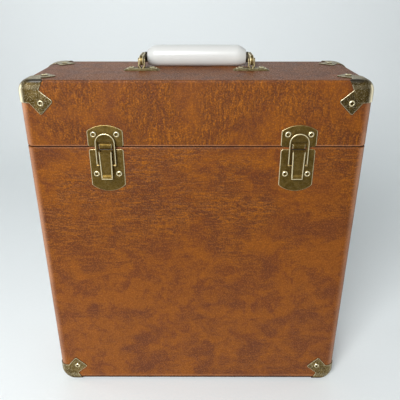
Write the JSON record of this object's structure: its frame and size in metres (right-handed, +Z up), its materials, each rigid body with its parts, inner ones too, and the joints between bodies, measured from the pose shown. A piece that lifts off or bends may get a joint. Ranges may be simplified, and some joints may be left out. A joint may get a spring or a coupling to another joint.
{
  "type": "record carrying case",
  "caption": "Upright carrying case for records: covered board box with hinged lid, draw latches, brass corner guards and a swinging white handle.",
  "frame": {"origin": "on the ground under the middle of the whole object's bounding box", "axes": "+X to the right, +Y to the back, +Z up; the latches face -Y"},
  "size_m": [0.3546, 0.1362, 0.4077],
  "materials": {
    "covering": "mottled tan-brown artificial leather, fine grain, satin",
    "lining": "matt flocked lining",
    "board": "raw fibreboard",
    "guard": "antique brass, rubbed bright on the edges",
    "rivet": "antique brass",
    "hinge": "antique brass",
    "latch": "antique brass, rubbed bright on the rims",
    "handle_fitting": "antique brass, cast",
    "grip": "smooth white moulding",
    "core": "plain strip steel"
  },
  "bodies": {
    "case_body": {"body_front_board": "board", "body_back_board": "board", "body_left_board": "board", "body_right_board": "board", "body_bottom_board": "board", "body_covering": "covering", "body_lining": "lining", "guard_bottom_front_left": "guard", "guard_bottom_front_right": "guard", "guard_bottom_back_left": "guard", "guard_bottom_back_right": "guard", "body_guard_rivets": "rivet", "hinge_body_leaf_left": "hinge", "hinge_body_leaf_right": "hinge", "hinge_pin_left": "hinge", "hinge_pin_right": "hinge", "hinge_body_rivets": "rivet", "latch_base_left": "latch", "latch_base_right": "latch", "latch_lever_pin_left": "latch", "latch_lever_pin_right": "latch", "latch_base_rivets": "rivet"},
    "lid": {"lid_front_board": "board", "lid_back_board": "board", "lid_left_board": "board", "lid_right_board": "board", "lid_top_board": "board", "lid_covering": "covering", "lid_lining": "lining", "guard_top_front_left": "guard", "guard_top_front_right": "guard", "guard_top_back_left": "guard", "guard_top_back_right": "guard", "lid_guard_rivets": "rivet", "hinge_lid_leaf_left": "hinge", "hinge_lid_leaf_right": "hinge", "hinge_lid_rivets": "rivet", "latch_strike_left": "latch", "latch_strike_right": "latch", "latch_strike_rivets": "rivet", "handle_plate_left": "handle_fitting", "handle_plate_right": "handle_fitting", "handle_plate_rivets": "rivet"},
    "handle": {"handle_link_left": "handle_fitting", "handle_link_right": "handle_fitting", "handle_core": "core", "handle_grip": "grip"},
    "lever_left": {"latch_lever_left": "latch"},
    "bail_left": {"latch_bail_left": "latch", "latch_bail_pin_left": "latch"},
    "lever_right": {"latch_lever_right": "latch"},
    "bail_right": {"latch_bail_right": "latch", "latch_bail_pin_right": "latch"}
  },
  "joints": [
    {"name": "lid_hinge", "type": "hinge", "parent": "case_body", "child": "lid", "pos_m": [0, 0.06565, 0.3173], "axis": [-1, 0, 0], "range_deg": [0, 180]},
    {"name": "handle_swing", "type": "hinge", "parent": "lid", "child": "handle", "pos_m": [0, 0.00185, 0.3943], "axis": [1, 0, 0], "range_deg": [0, 171.7]},
    {"name": "lever_turn_left", "type": "hinge", "parent": "case_body", "child": "lever_left", "pos_m": [-0.0925, -0.06415, 0.3118], "axis": [-1, 0, 0], "range_deg": [0, 110]},
    {"name": "bail_turn_left", "type": "hinge", "parent": "lever_left", "child": "bail_left", "pos_m": [-0.0925, -0.06375, 0.2986], "axis": [-1, 0, 0], "range_deg": [-110, 0]},
    {"name": "lever_turn_right", "type": "hinge", "parent": "case_body", "child": "lever_right", "pos_m": [0.1045, -0.06415, 0.3118], "axis": [-1, 0, 0], "range_deg": [0, 110]},
    {"name": "bail_turn_right", "type": "hinge", "parent": "lever_right", "child": "bail_right", "pos_m": [0.1045, -0.06375, 0.2986], "axis": [-1, 0, 0], "range_deg": [-110, 0]}
  ],
  "couplings": [
    {"joint": "bail_turn_left", "follows": "lever_turn_left", "ratio": -1},
    {"joint": "bail_turn_right", "follows": "lever_turn_right", "ratio": -1}
  ]
}
